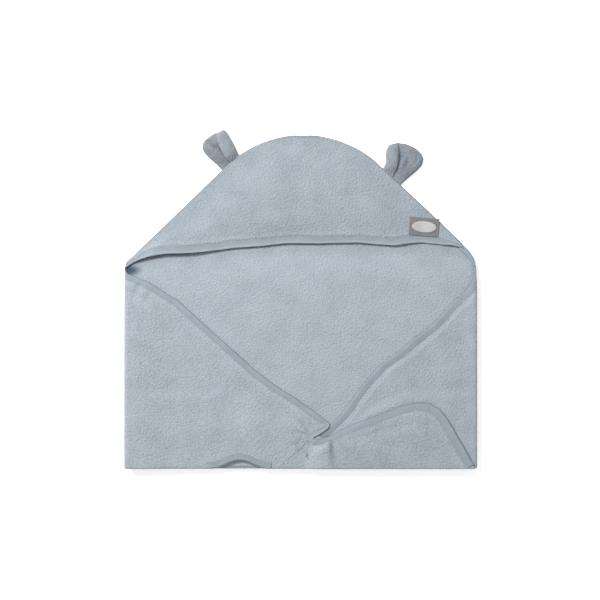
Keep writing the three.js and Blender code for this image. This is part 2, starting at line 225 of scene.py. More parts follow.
def right_outer(y):
    """The right silhouette: straight, then rounding in to the hood's seam."""
    seam = CENTRE_X + RIGHT_SEAM[0] * (RIGHT_SEAM[1] - y)
    soft = 8.0
    cut = soft * np.log(np.exp(-(seam - HALF_WIDTH) / soft) + 1)
    return -cut + HALF_WIDTH - 0.6 * smooth((y - 20) / 40)


def left_fold(y):
    return -HALF_WIDTH + CLOTH / 2 + left_radius(y)


def right_fold(y):
    return right_outer(y) - CLOTH / 2 - right_radius(y)


def hem_left(x):
    return HEM_Y + ARCH_HEIGHT * smooth(1 - np.abs(x - ARCH_MIDDLE) / ARCH_HALF)


left_top_x, left_top_y = [], []
for px, py, _ in left_line:
    if not left_top_x or px > left_top_x[-1]:
        left_top_x.append(px)
        left_top_y.append(py)
right_order = np.argsort(right_line[:, 1])


def left_edge_y(x):
    return np.interp(x, left_top_x, left_top_y)


def right_edge_x(y):
    return np.interp(y, right_line[right_order, 1], right_line[right_order, 0])


def right_edge_y(x):
    return np.interp(x, right_line[:120, 0], right_line[:120, 1])  # before the line turns back at the hood


def hood_edge_y(x):
    return np.interp(x, hood_line[::-1, 0], hood_line[::-1, 1])


def under_share(x, y, edge_y, hem):
    """1 over the turned-under hem, 0 above it."""
    top = hem + np.minimum(UNDER_DEPTH, UNDER_SHARE * (edge_y - hem))
    return 1 - smooth((y - top + 9) / 18)


def inside_right(x, y):
    """1 where the right side's cloth lies, 0 elsewhere."""
    edge = np.where(y < PINCH_END, PINCH_EDGE, right_edge_x(y))
    lean = np.where(y > -170, 0.75, 0.8)
    return smooth(((x - edge) * lean + 7) / 12)


def right_height(x, y):
    edge = right_edge_y(x)
    base = back_height(y) + PITCH * (1 + under_share(x, y, edge, HEM_Y))
    top = back_height(y) + 2 * right_radius(y)
    z = base + (top - base) * (1 - smooth((right_fold(y) - x) / 20))
    return z + 0.5 * bump((distance_to(right_line, x, y) - RIDGE_AT) / 6)


# Soft creases in the left side's cloth: where they start and end, their width and depth
CREASES = [
    ((47, -214), (46, -256), 5.5, -2.6), ((27, -222), (27, -258), 9.0, 1.5),
    ((12, -204), (-12, -198), 4.0, -1.6), ((12, -199), (-4, -178), 4.0, -1.7),
    ((17, -192), (12, -172), 3.5, -1.1), ((6, -212), (-22, -221), 4.5, -1.0),
    ((-240, 24), (-252, -2), 6.0, -1.3), ((-226, 12), (-236, -12), 6.0, -1.0),
    ((64, -202), (58, -222), 4.5, -0.9), ((-190, -120), (-150, -190), 22.0, -0.9),
    ((110, -196), (150, -232), 16.0, -0.8), ((-60, -180), (-110, -215), 18, 0.8),
]


def crease_at(x, y, creases):
    total = np.zeros(np.shape(x))
    for (x0, y0), (x1, y1), width, depth in creases:
        dx, dy = x1 - x0, y1 - y0
        length = math.hypot(dx, dy)
        along = ((x - x0) * dx + (y - y0) * dy) / length
        across = ((x - x0) * dy - (y - y0) * dx) / length
        across = across + 1.2 * ripple(x * 2, y * 2)
        ends = smooth((along + 4) / 8) * (1 - smooth((along - length * 0.55) / (length * 0.55)))
        total = total + depth * ends * bump(across / width * 1.3)
    return total


def left_height(x, y):
    inside = inside_right(x, y)
    bare = back_height(y) + PITCH
    over = right_height(x, y) + PITCH + 0.5
    base = bare + (over - bare) * inside
    base = base + PITCH * under_share(x, y, left_edge_y(x), hem_left(x))
    top = back_height(y) + 2 * left_radius(y)
    z = base + (top - base) * (1 - smooth((x - left_fold(y)) / 75))
    near = distance_to(left_line, x, y)
    z = z + 0.5 * bump((near - RIDGE_AT) / 6) + 0.8 * bump(np.hypot(x - PINCH[0] + 6, y - PINCH[1] - 6) / 20)
    return z + crease_at(x, y, CREASES)


def hood_side(x, y):
    slope = np.where(x < CENTRE_X, LEFT_SEAM[0], RIGHT_SEAM[0])
    tip = np.where(x < CENTRE_X, LEFT_SEAM[1], RIGHT_SEAM[1])
    return (slope * (tip - y) - np.abs(x - CENTRE_X)) / np.hypot(1, slope)


def hood_height(x, y):
    """The hood rises softly off the back and comes down again to its front edge."""
    inside = smooth((hood_side(x, y) - 2) / 60)
    front = hood_edge_y(x)
    back_off = smooth((CROWN_Y - y) / 60)
    dome = 6.5 * inside * back_off * (0.25 + 0.75 * smooth((y - front) / 45))
    corner = 3.0 * smooth((x - 205) / 30) * (1 - smooth((y - 96) / 26))
    gape = 4.6 * smooth((-105 - x) / 90) * (1 - smooth((y - 80) / 40)) * (1 - 0.6 * smooth((-x - 246) / 14))
    sewn = smooth((hood_side(x, y) + 0.5) / 20)
    waves = 0.7 * np.sin((x + 0.4 * y) / 21.0) * (1 - smooth((y - front) / 26)) * smooth((x - 110) / 40)
    return back_height(y) + PITCH + 0.7 + dome + (corner + gape) * sewn + waves


# ---------------------------------------------------------------- meshes
def mesh_object(name, vertices, faces, flat, material, shade=None):
    """A smooth-shaded mesh from points in millimetres.

    flat is each point's place on the uncut cloth. shade is its tone, mostly painted light and shade: lighter
    above 0, darker below."""
    data = bpy.data.meshes.new(name)
    v = np.asarray(vertices, np.float32) / MM
    f = np.asarray(faces, np.int32)
    data.vertices.add(len(v))
    data.vertices.foreach_set("co", v.ravel())
    data.loops.add(f.size)
    data.loops.foreach_set("vertex_index", f.ravel())
    data.polygons.add(len(f))
    data.polygons.foreach_set("loop_start", np.arange(0, f.size, f.shape[1], dtype=np.int32))
    data.polygons.foreach_set("use_smooth", np.ones(len(f), bool))
    place = data.attributes.new("flat", "FLOAT_VECTOR", "POINT")
    place.data.foreach_set("vector", (np.asarray(flat, np.float32) / MM).ravel())
    tone = data.attributes.new("tone", "FLOAT", "POINT")
    shade = np.zeros(len(v)) if shade is None else shade
    tone.data.foreach_set("value", np.asarray(shade, np.float32).ravel())
    data.update(calc_edges=True)
    data.validate()
    obj = bpy.data.objects.new(name, data)
    bpy.context.scene.collection.objects.link(obj)
    data.materials.append(material)
    return obj


def grid_normals(p):
    n = np.cross(np.gradient(p, axis=0), np.gradient(p, axis=1))
    size = np.linalg.norm(n, axis=2, keepdims=True)
    return n / np.maximum(size, 1e-9)


def pile(u, v):
    """Relief of the terry's loops, which stand in loose clumps."""
    return 0.03 * loops_wide(u, v) + 0.07 * loops(u, v) + 0.14 * loops_fine(u, v)


def sheet_mesh(name, p, thickness, flat, material, up=1, relief=1.0, shade=None):
    """A closed sheet round the middle surface p[i, j]. up says which way u cross v points."""
    n, m = p.shape[:2]
    normal = grid_normals(p) * up
    t = np.broadcast_to(thickness, (n, m)).astype(float)
    full = relief * np.clip(t - 1.2, 0, 1)
    u, v = flat[..., 0], flat[..., 1]
    over = p + normal * (t / 2 + full * pile(u, v))[..., None]
    under_pile = pile(u + UNDERSIDE_PLACE[0], v + UNDERSIDE_PLACE[1])
    under = p - normal * (t / 2 + full * under_pile)[..., None]
    vertices = np.concatenate([over.reshape(-1, 3), under.reshape(-1, 3)])
    index = np.arange(n * m).reshape(n, m)
    a, b, c, d = index[:-1, :-1], index[1:, :-1], index[1:, 1:], index[:-1, 1:]
    quads = np.stack([a, b, c, d], -1).reshape(-1, 4)
    rim = np.r_[index[:, 0], index[-1, 1:], index[-2::-1, -1], index[0, -2:0:-1]]
    follow = np.r_[rim[1:], rim[:1]]
    low = n * m
    wall = np.stack([rim, rim + low, follow + low, follow], 1)
    faces = np.concatenate([quads, quads[:, ::-1] + low, wall])
    if up < 0:
        faces = faces[:, ::-1]
    side = np.concatenate([np.zeros(n * m), np.full(n * m, 3.0)])
    places = np.c_[np.tile(np.c_[u.ravel(), v.ravel()], (2, 1)), side]
    tone = None if shade is None else np.tile(np.ravel(shade), 2)
    return mesh_object(name, vertices, faces, places, material, tone)


def tube_faces(rings, around, base=0):
    """Quads between rings of points that follow each other in one list."""
    return [
        (base + i * around + k, base + i * around + (k + 1) % around,
         base + (i + 1) * around + (k + 1) % around, base + (i + 1) * around + k)
        for i in range(rings - 1) for k in range(around)
    ]


def fix_normals(obj):
    mesh = bmesh.new()
    mesh.from_mesh(obj.data)
    bmesh.ops.recalc_face_normals(mesh, faces=mesh.faces)
    mesh.to_mesh(obj.data)
    mesh.free()


def area_m2(p):
    """Area of a middle surface, in square metres."""
    a, b = np.diff(p, axis=0)[:, :-1], np.diff(p, axis=1)[:-1]
    return float(np.linalg.norm(np.cross(a, b), axis=2).sum() / MM**2)


def with_close_ends(count, length, end=True):
    """Shares from 0 to 1, with extra places just inside the ends so that an edge can be rounded."""
    near = np.array([0.35, 0.9, 1.7]) / length
    return np.unique(np.r_[np.linspace(0, 1, count), near, 1 - near if end else []])


def rounded(distance):
    """Share of the full thickness near a free edge, so that the edge is round."""
    c = np.clip(distance / (CLOTH / 2), 0, 1)
    return 0.25 + 0.75 * np.sqrt(1 - (1 - c) ** 2)


# ---------------------------------------------------------------- cloth surfaces as maps from (a, y)
def round_fold(a, y, sign):
    """x and z for a side's cloth. a is x on the front."""
    fold, radius = (right_fold(y), right_radius(y)) if sign > 0 else (left_fold(y), left_radius(y))
    front = right_height if sign > 0 else left_height
    past = np.maximum((a - fold) * sign, 0)
    angle = np.clip(past / radius, 0, math.pi)
    beyond = np.maximum(past - math.pi * radius, 0)
    x_front = np.where(past > 0, fold, a)
    middle = back_height(y) + radius
    z = np.where(past > 0, middle + radius * np.cos(angle), front(x_front, y))
    x = np.where(past > 0, fold + sign * (radius * np.sin(angle) - beyond), x_front)
    return x, z


def right_surface(a, y):
    x, z = round_fold(a, y, 1)
    return stack(x, y, settle(x, y, z))


def left_surface(a, y):
    x, z = round_fold(a, y, -1)
    return stack(x, y, settle(x, y, z))


def hood_surface(x, y):
    return stack(x, y, settle(x, y, hood_height(x, y)))


def back_surface(x, y):
    return stack(x, y, settle(x, y, back_height(y) + 0 * x))


def thickness_by_tape(edge, covered):
    """Thin inside the tape, full beyond it."""
    return PRESSED + (CLOTH - PRESSED) * smooth((edge - covered) / 2.5)


def surface_normal(surface, a, y):
    e = 0.4
    du = surface(a + e, y) - surface(a - e, y)
    dv = surface(a, y + e) - surface(a, y - e)
    n = np.cross(du, dv)
    return n / np.maximum(np.linalg.norm(n, axis=-1, keepdims=True), 1e-9)


# ---------------------------------------------------------------- materials
def new_material(name):
    m = bpy.data.materials.new(name)
    m.use_nodes = True
    tree = m.node_tree
    bsdf = tree.nodes["Principled BSDF"]
    place = tree.nodes.new("ShaderNodeAttribute")
    place.attribute_name = "flat"
    return m, tree, bsdf, place.outputs["Vector"]


def grain(tree, vector, scale, detail=2.0, low=0.35, high=0.65, seed=0.0):
    """A noise over the cloth, stretched to fill 0 to 1."""
    tex = tree.nodes.new("ShaderNodeTexNoise")
    tex.noise_dimensions = "4D"
    tex.inputs["W"].default_value = seed
    tex.inputs["Scale"].default_value = scale
    tex.inputs["Detail"].default_value = detail
    tree.links.new(vector, tex.inputs["Vector"])
    span = tree.nodes.new("ShaderNodeMapRange")
    span.inputs["From Min"].default_value = low
    span.inputs["From Max"].default_value = high
    tree.links.new(tex.outputs["Fac"], span.inputs["Value"])
    return span.outputs["Result"]


def mix(tree, fac, a, b):
    node = tree.nodes.new("ShaderNodeMix")
    node.data_type = "RGBA"
    for socket, value in (("Factor", fac), ("A", a), ("B", b)):
        at = next(s for s in node.inputs if s.name == socket and (s.type == "RGBA" or socket == "Factor"))
        if isinstance(value, (int, float)):
            at.default_value = value
        elif isinstance(value, tuple):
            at.default_value = (*value, 1)
        else:
            tree.links.new(value, at)
    return next(s for s in node.outputs if s.type == "RGBA")


def maths(tree, operation, a, b=0.0):
    node = tree.nodes.new("ShaderNodeMath")
    node.operation = operation
    for k, value in enumerate((a, b)):
        if isinstance(value, (int, float)):
            node.inputs[k].default_value = value
        else:
            tree.links.new(value, node.inputs[k])
    return node.outputs[0]


def toned(tree, colour, highlight_colour):
    """The colour turned toward the given lighter colour where the tone is above 0, for painted highlights and
    lighter patches, and toward SHADOW_INK where it is below, for painted shade and shadow.
    """
    node = tree.nodes.new("ShaderNodeAttribute")
    node.attribute_name = "tone"
    tone = node.outputs["Fac"]
    colour = mix(tree, maths(tree, "MAXIMUM", tone, 0.0), colour, highlight_colour)
    shadow = maths(tree, "MAXIMUM", maths(tree, "MULTIPLY", tone, -1.0), 0.0)
    return mix(tree, shadow, colour, SHADOW_INK)


def scaled(colour, factor):
    return tuple(min(1, c * factor) for c in colour)


def set_inputs(node, **values):
    for socket, value in values.items():
        node.inputs[socket.replace("_", " ")].default_value = value


def add_bump(tree, bsdf, height, distance, strength=1.0):
    node = tree.nodes.new("ShaderNodeBump")
    node.inputs["Distance"].default_value = distance
    node.inputs["Strength"].default_value = strength
    tree.links.new(height, node.inputs["Height"])
    tree.links.new(node.outputs["Normal"], bsdf.inputs["Normal"])


SHADOW_INK = (0.034, 0.058, 0.088)  # the deepest shade between layers


def terry_material(name, dark, light, highlight_colour, seed):
    """Looped cotton pile: blotches where the pile leans, clumps of loops, and each loop's own shade."""
    m, tree, bsdf, place = new_material(name)
    blotch = grain(tree, place, 26, 3.0, 0.34, 0.66, seed)
    clump = grain(tree, place, 240, 2.0, 0.32, 0.68, seed + 1)
    fibre = grain(tree, place, 560, 1.0, 0.32, 0.68, seed + 2)
    colour = mix(tree, blotch, dark, light)
    colour = mix(tree, maths(tree, "MULTIPLY", clump, 0.60), colour, light)
    gaps = maths(tree, "SUBTRACT", 1.0, fibre)
    colour = mix(tree, maths(tree, "MULTIPLY", gaps, 0.52), colour, scaled(dark, 0.62))
    tint = grain(tree, place, 60, 1.0, 0.4, 0.6, seed + 3)
    warm = (light[0] * 1.02, light[1] * 0.97, light[2] * 0.99)
    colour = mix(tree, maths(tree, "MULTIPLY", tint, 0.16), colour, warm)
    tree.links.new(toned(tree, colour, highlight_colour), bsdf.inputs["Base Color"])
    cells = tree.nodes.new("ShaderNodeTexVoronoi")
    cells.feature = "SMOOTH_F1"
    cells.inputs["Scale"].default_value = 560
    tree.links.new(place, cells.inputs["Vector"])
    rough = grain(tree, place, 300, 2.0, 0.3, 0.7, seed + 4)
    height = maths(tree, "ADD", maths(tree, "MULTIPLY", cells.outputs["Distance"], -0.8), rough)
    add_bump(tree, bsdf, height, 0.0008, 0.9)
    set_inputs(bsdf, Roughness=0.96, Specular_IOR_Level=0.18, Sheen_Weight=0.18, Sheen_Roughness=0.55)
    return m


WAVES_PER_UNIT = 20  # bands that a wave texture draws in a unit at scale 1


def wave(tree, vector, axis, scale, distortion):
    tex = tree.nodes.new("ShaderNodeTexWave")
    tex.wave_type = "BANDS"
    tex.bands_direction = axis
    tex.wave_profile = "SIN"
    tex.inputs["Scale"].default_value = scale
    tex.inputs["Distortion"].default_value = distortion
    tex.inputs["Detail"].default_value = 1.0
    tree.links.new(vector, tex.inputs["Vector"])
    return tex.outputs["Fac"]


def woven_material(name, dark, light, threads, roughness, bump_mm, sheen=0.1, seed=0.0):
    """Plain weave. threads is the number of threads to a millimetre."""
    m, tree, bsdf, place = new_material(name)
    scale = threads * MM / WAVES_PER_UNIT
    warp, weft = wave(tree, place, "X", scale, 0.6), wave(tree, place, "Y", scale, 0.6)
    weave = maths(tree, "MULTIPLY", warp, weft)
    blotch = grain(tree, place, 45, 3.0, 0.35, 0.65, seed)
    slub = grain(tree, place, 420, 2.0, 0.3, 0.7, seed + 1)
    colour = mix(tree, blotch, dark, light)
    gaps = maths(tree, "SUBTRACT", 1.0, weave)
    colour = mix(tree, maths(tree, "MULTIPLY", gaps, 0.22), colour, scaled(dark, 0.7))
    colour = mix(tree, maths(tree, "MULTIPLY", slub, 0.22), colour, light)
    tree.links.new(toned(tree, colour, scaled(light, 1.25)), bsdf.inputs["Base Color"])
    add_bump(tree, bsdf, maths(tree, "ADD", weave, maths(tree, "MULTIPLY", slub, 0.8)), bump_mm / MM, 0.8)
    set_inputs(bsdf, Roughness=roughness, Specular_IOR_Level=0.25, Sheen_Weight=sheen)
    return m


# Each material: its darker and lighter colour, then what its function asks for
terry = terry_material("terry_pile", (0.238, 0.276, 0.312), (0.318, 0.360, 0.400), (0.40, 0.45, 0.50), 0.0)
lining = terry_material("ear_terry", (0.176, 0.198, 0.218), (0.240, 0.266, 0.290), (0.34, 0.375, 0.41), 7.0)
binding = woven_material("binding_tape", (0.222, 0.258, 0.292), (0.262, 0.300, 0.336), 2.2, 0.85, 0.12)
thread = woven_material("sewing_thread", (0.25, 0.285, 0.32), (0.30, 0.335, 0.37), 4.0, 0.6, 0.05, 0.2, 3.0)
label_cloth = woven_material("label_weave", (0.140, 0.138, 0.146), (0.175, 0.173, 0.181),
                             3.0, 0.7, 0.06, seed=5.0)
oval_cloth = woven_material("oval_weave", (0.37, 0.365, 0.367), (0.44, 0.435, 0.437),
                            3.4, 0.6, 0.06, seed=6.0)


# ---------------------------------------------------------------- binding tapes and stitches
# A tape's section: share of its width in from the edge, and height over the cloth's middle
TAPE_TOP = [
    (-1.0, 0.50), (-0.965, 0.86), (-0.90, 0.98), (-0.83, 0.80), (-0.77, 0.98), (-0.62, 1.05), (-0.42, 1.08),
    (-0.28, 1.16), (-0.16, 1.24), (-0.07, 1.06), (-0.02, 0.62), (0.0, 0.0),
]
TAPE_SLOT = [(-1.0, 0.38), (-0.5, 0.38), (-0.12, 0.36)]
STITCH_AT, STITCH_LONG, STITCH_THICK, STITCH_PITCH = -0.83, 2.3, 0.26, 3.2
THREAD_SIDES = 6


def outward_of(line, side):
    """Unit directions in the plane that lead off the cloth, at each point of a bound edge."""
    t = np.gradient(line[:, :2], axis=0)
    t /= np.linalg.norm(t, axis=1, keepdims=True)
    return np.stack([-t[:, 1], t[:, 0]], 1) * side


def tape(name, line, side, surface, width=None, height=1.0, seed=0.0, rim=0.5, lip=0.0, body=-0.07):
    """The binding folded round an edge: line is the edge in the surface's own plane.

    rim is a painted highlight along the tape's turned rim, lip (below 0) a painted shadow line along its
    outer edge, on top and just under it, and body how much lighter (or darker, below 0) the tape is across
    its flat. body may differ from place to place."""
    out = outward_of(line, side)
    width = np.full(len(line), TAPE_WIDTH) if width is None else width
    run = run_along(line[:, :2])
    top = TAPE_TOP + [(d, -h) for d, h in TAPE_TOP[-2::-1]]
    slot = [(d, -h) for d, h in TAPE_SLOT] + TAPE_SLOT[::-1]
    profile = np.array(top + slot)
    section, flat, tone = [], [], []
    around = np.r_[0, np.cumsum(np.hypot(np.diff(profile[:, 0]) * TAPE_WIDTH, np.diff(profile[:, 1])))]
    pucker = 0.16 * tape_pucker(run + seed, 0 * run) + 0.22 * tape_ripple(run + seed, 0 * run)
    for k, (d, h) in enumerate(profile):
        outer = k < len(top)
        gather = pucker * smooth(-d * 3) if outer else 0
        reach = d * width + 0.35 * tape_ripple(run, 0 * run + 40)
        a, b = line[:, 0] + out[:, 0] * reach, line[:, 1] + out[:, 1] * reach
        up = surface_normal(surface, a, b)
        rise = h * height + np.sign(h) * gather
        section.append(surface(a, b) + up * np.reshape(rise, (-1, 1)))
        flat.append(np.stack([run + seed, 0 * run + around[k], 0 * run], 1))
        # Painted shade in the groove along the stitch line
        row = 0 * run + rim * bump((d + 0.13) / 0.12) - 0.10 * bump((d + 0.83) / 0.07)
        row = row + body * smooth((-d - 0.18) * 6) + lip * smooth((d + 0.11) / 0.07)
        below = lip * smooth((d + 0.11) / 0.07) * outer
        tone.append(row if outer and h >= 0 else 0 * run + below)
    n, m = len(line), len(profile)
    vertices = np.stack(section, 1).reshape(-1, 3)
    flat, tone = np.stack(flat, 1).reshape(-1, 3), np.stack(tone, 1).ravel()
    faces = tube_faces(n, m)
    for base, turn in ((0, 1), ((n - 1) * m, -1)):
        for k in range(m // 2 - 1):
            quad = (base + k, base + k + 1, base + m - 2 - k, base + m - 1 - k)
            if len(set(quad)) == 4:
                faces.append(quad[::-turn] if turn > 0 else quad)
    obj = mesh_object(name, vertices, faces, flat, binding, tone)
    fix_normals(obj)
    return obj


def stitches(name, line, side, surface, width=None, rise=0.78):
    """A row of short threads sunk into a tape."""
    out = outward_of(line, side)
    width = np.full(len(line), TAPE_WIDTH) if width is None else width
    a, b = line[:, 0] + out[:, 0] * STITCH_AT * width, line[:, 1] + out[:, 1] * STITCH_AT * width
    up = surface_normal(surface, a, b)
    return thread_row(name, surface(a, b) + up * rise, up)


def thread_row(name, path, up):
    run = run_along(path)
    vertices, faces, flat = [], [], []
    rings = np.linspace(-1, 1, 7)
    for centre in np.arange(STITCH_PITCH, run[-1] - STITCH_PITCH, STITCH_PITCH):
        c = np.array([np.interp(centre, run, path[:, k]) for k in range(3)])
        ahead = np.array([np.interp(centre + 1, run, path[:, k]) for k in range(3)]) - c
        ahead /= max(np.linalg.norm(ahead), 1e-6)
        n = np.array([np.interp(centre, run, up[:, k]) for k in range(3)])
        n /= max(np.linalg.norm(n), 1e-6)
        across = np.cross(n, ahead)
        base = len(vertices)
        for r in rings:
            size = STITCH_THICK * math.sqrt(max(1 - abs(r) ** 3, 0.06))
            middle = c + ahead * r * STITCH_LONG / 2 - n * 0.25 * r * r
            for k in range(THREAD_SIDES):
                q = k * math.pi / 3
                vertices.append(middle + size * (across * math.cos(q) + n * math.sin(q)))
                flat.append((centre + r, k * 0.3, 0))
        faces += tube_faces(len(rings), THREAD_SIDES, base)
        for end in (0, (len(rings) - 1) * THREAD_SIDES):
            ring = [base + end + k for k in range(THREAD_SIDES)]
            faces += [tuple(ring[:4]), (ring[0], ring[3], ring[4], ring[5])]
    obj = mesh_object(name, vertices, faces, flat, thread)
    fix_normals(obj)
    return obj


# ---------------------------------------------------------------- the back and the hood
def hood_half_width(y, slope, tip):
    """A straight seam, then the round crown."""
    lean = slope / math.hypot(1, slope)
    top = CROWN_Y + 0.05
    centre = (top - lean * tip) / (1 - lean)
    radius = top - centre
    round_part = np.sqrt(np.maximum(0, radius**2 - (y - centre) ** 2))
    return np.where(y < centre + lean * radius, slope * (tip - y), round_part)


def hood_left(y):
    return np.maximum(CENTRE_X - hood_half_width(y, *LEFT_SEAM), -HALF_WIDTH + 1.2)


def hood_right(y):
    seam = CENTRE_X + hood_half_width(y, *RIGHT_SEAM)
    return np.minimum(seam, right_outer(y) - 0.6)


def back_left_border(y):
    outward = left_fold(y) - left_radius(y) * smooth((y - 42) / 5)
    return np.maximum(hood_left(y), outward)


def back_right_border(y):
    mixed = smooth((y - 78) / 8)
    return right_fold(y) * (1 - mixed) + hood_right(y) * mixed


def build_back():
    low_rows = HEM_Y + np.linspace(0, 1, 108) * 272.0
    crown_rows = CROWN_Y - 6.5 * np.linspace(1, 0.05, 14) ** 2
    y = np.unique(np.r_[low_rows, np.linspace(low_rows[-1], 200, 72), np.linspace(200, 240, 26), crown_rows])
    s = with_close_ends(190, 500)
    x = back_left_border(y)[None] + (back_right_border(y) - back_left_border(y))[None] * s[:, None]
    yy = np.broadcast_to(y, x.shape)
    p = back_surface(x, yy)
    gap = np.minimum(x - x[:1], x[-1:] - x)
    gap = np.minimum(gap, CROWN_Y - yy)
    free = smooth((yy - 40) / 15)
    t = CLOTH * (1 - free * (1 - rounded(gap)))
    # Painted shadow under the hood's front edge, deepest at the left corner, painted shade along the back's
    # free edges, and the cloth a little lighter further below the hood's edge
    below = hood_edge_y(x) - yy
    left_share = smooth((-110 - x) / 110)
    line = smooth((below + 2.2) / 1.6) * (1 - smooth((below - 0.1) / (0.9 + 1.0 * left_share)))
    soft = 0.30 * left_share * smooth((below + 2) / 2) * (1 - smooth((below - 1.5) / 7))
    corner = np.hypot((x + 262) * 0.42, yy - 43.0)
    wedge = 0.95 * (1 - smooth((corner - 3.5) / 9.0)) * smooth((below + 2) / 2)
    painted_shadow = np.maximum(np.maximum(line * (0.85 - 0.45 * smooth((x - 60) / 150)), soft), wedge)
    paler = 0.17 * smooth((below - 8) / 14)
    shade = paler * (1 - painted_shadow) - 0.12 * free * bump(gap / 2) - painted_shadow
    return sheet_mesh("back_cloth", p, t, np.stack([x, yy], -1), terry, shade=shade), p


def build_hood():
    s = with_close_ends(200, 500)
    t = with_close_ends(112, 165, end=False) ** 1.35
    right, left = hood_line[0], hood_line[-1]
    count = np.linspace(0, 1, len(hood_line))
    route_y = np.interp(s, count, hood_line[:, 1])
    route_x = np.interp(s, count, hood_line[:, 0])
    chord = right[1] + (left[1] - right[1]) * s
    top = CROWN_Y - 0.02
    right_y = top + (right[1] - top) * t
    left_y = top + (left[1] - top) * t
    y = right_y[None] + (left_y - right_y)[None] * s[:, None] + (t**2)[None] * (route_y - chord)[:, None]
    x = hood_right(y) + (hood_left(y) - hood_right(y)) * s[:, None]
    x = x + (t**6)[None] * (route_x[:, None] - x[:, -1:])
    y = y + (t**6)[None] * (route_y[:, None] - y[:, -1:])
    z_edge = np.minimum(np.abs(x - hood_left(y)), np.abs(hood_right(y) - x))
    z_edge = np.minimum(z_edge, CROWN_Y - y)
    front = distance_to(hood_line, x, y)
    p = hood_surface(x, y)
    seam = rounded(z_edge)
    p[..., 2] -= 1.0 * (1 - smooth(z_edge / 3.0))
    thick = thickness_by_tape(front, width_hood(x) - 1.5) * seam
    p[..., 2] += 0.35 * bump((front - 14) / 3)
    at_tape = front - width_hood(x)
    # Painted shade along the hood's outer edges and in the groove beside its tape, and a painted highlight on
    # the pile swelling just inside the tape
    shade = -0.50 * bump(z_edge / 2.6) - 0.16 * bump((at_tape - 0.2) / 1.4) + 0.08 * bump((at_tape - 3.5) / 3)
    return sheet_mesh("hood_cloth", p, thick, np.stack([x, y], -1), terry, shade=shade), p


def width_hood(x):
    """The hood's tape turns away from sight toward both corners."""
    return TAPE_WIDTH * (1 - 0.66 * smooth((x - 200) / 38)) * (1 - 0.66 * smooth((-218 - x) / 40))


back_cloth, back_p = build_back()
hood_cloth, hood_p = build_hood()
hood_edge = hood_line[2:-1]
hood_width = width_hood(hood_edge[:, 0])
hood_tape = tape("hood_tape", hood_edge, 1, hood_surface, hood_width, seed=100)
hood_thread = stitches("hood_tape_stitches", hood_edge[6:-6], 1, hood_surface, hood_width[6:-6])


# ---------------------------------------------------------------- the two sides
def right_grid(rows_y):
    """Rows from the bound edge, over the fold and round to the back: a and y of each point."""
    share = np.linspace(0, 1, 96)
    near = np.array([0, 1.2, 3.0, 5.5, 8.5, 10.5, 12.0, 13.5])
    front = np.where(rows_y < PINCH_END, PINCH_EDGE, right_edge_x(rows_y))
    fold = right_fold(rows_y)
    ring = math.pi * right_radius(rows_y)
    a_rows = []
    for k in range(len(rows_y)):
        flat_part = front[k] + (fold[k] - front[k]) * share
        if fold[k] - front[k] > 30:
            flat_part = np.r_[front[k] + near, np.linspace(front[k] + 15.5, fold[k], len(share) - len(near))]
        a_rows.append(np.r_[flat_part, fold[k] + ring[k] * np.linspace(0, 1, 12)[1:]])
    a = np.stack(a_rows)
    return a, np.broadcast_to(rows_y[:, None], a.shape)


def right_thickness(edge, y):
    return np.where(y < PINCH_END - 2, CLOTH, thickness_by_tape(edge, TAPE_COVER))


def right_shade(edge):
    # Lighter all over, a painted highlight on the pile's swell just inside the tape, and painted shade in the
    # groove beside it
    return 0.08 + 0.26 * bump((edge - 15.5) / 3.5) - 0.12 * bump((edge - 12.2) / 1.5)


def build_right_corner():
    """The short piece of the right edge that stays under the hood's corner."""
    a, y = right_grid(np.linspace(80, CORNER_Y, 14))
    p = right_surface(a, y)
    edge = distance_to(right_line, a, y)
    flat = np.stack([a + RIGHT_PLACE, y], -1)
    thick, shade = right_thickness(edge, y), right_shade(edge)
    return sheet_mesh("right_corner_cloth", p, thick, flat, terry, shade=shade), p


def hem_rows(hem_y, depth):
    """The rows that turn round the hem and run on under it: y, and how far below the front layer."""
    turns = np.linspace(0, math.pi, HEM_TURN_STEPS)[1:]
    shares = np.linspace(0, 1, HEM_UNDER_STEPS)[1:]
    y = [hem_y - HEM_RADIUS * math.sin(q) + 0 * depth for q in turns] + [hem_y + depth * r for r in shares]
    below = [HEM_RADIUS * (1 - math.cos(q)) + 0 * depth for q in turns]
    return np.stack(y), np.stack(below + [2 * HEM_RADIUS + 0 * depth] * len(shares))


def build_right():
    """The right side row by row, then the hem turned under."""
    a, y = right_grid(np.linspace(CORNER_Y, HEM_Y, 112))
    p = right_surface(a, y)
    ring_share = np.clip((a - right_fold(y)) / (math.pi * right_radius(y)), 0, 1)
    edge = distance_to(right_line, a, y)
    t = right_thickness(edge, y)
    depth = np.minimum(UNDER_DEPTH, UNDER_SHARE * np.maximum(right_edge_y(a[-1]) - HEM_Y, 20))
    depth = np.where(ring_share[-1] > 0, UNDER_DEPTH, depth)
    under_y, under_z = hem_rows(HEM_Y, depth)
    ua = np.broadcast_to(a[-1], under_y.shape)
    over = right_surface(ua, under_y)
    normal = surface_normal(right_surface, ua, under_y)
    on_ring = np.clip((ua - right_fold(under_y)) / 2.0, 0, 1)
    lower = over - normal * (under_z * (1 - 0.12 * on_ring))[..., None]
    p = np.concatenate([p, lower])
    y_flat = np.concatenate([y, 2 * HEM_Y - np.maximum(under_y, HEM_Y) - 3])
    t = np.concatenate([t, CLOTH * (1 - 0.45 * on_ring)])
    t[-1] *= 0.4
    t[-2] *= 0.85
    flat = np.stack([np.concatenate([a, ua]) + RIGHT_PLACE, y_flat], -1)
    shade = right_shade(np.concatenate([edge, np.full(under_y.shape, FAR)]))
    return sheet_mesh("right_side_cloth", p, t, flat, terry, shade=shade), p


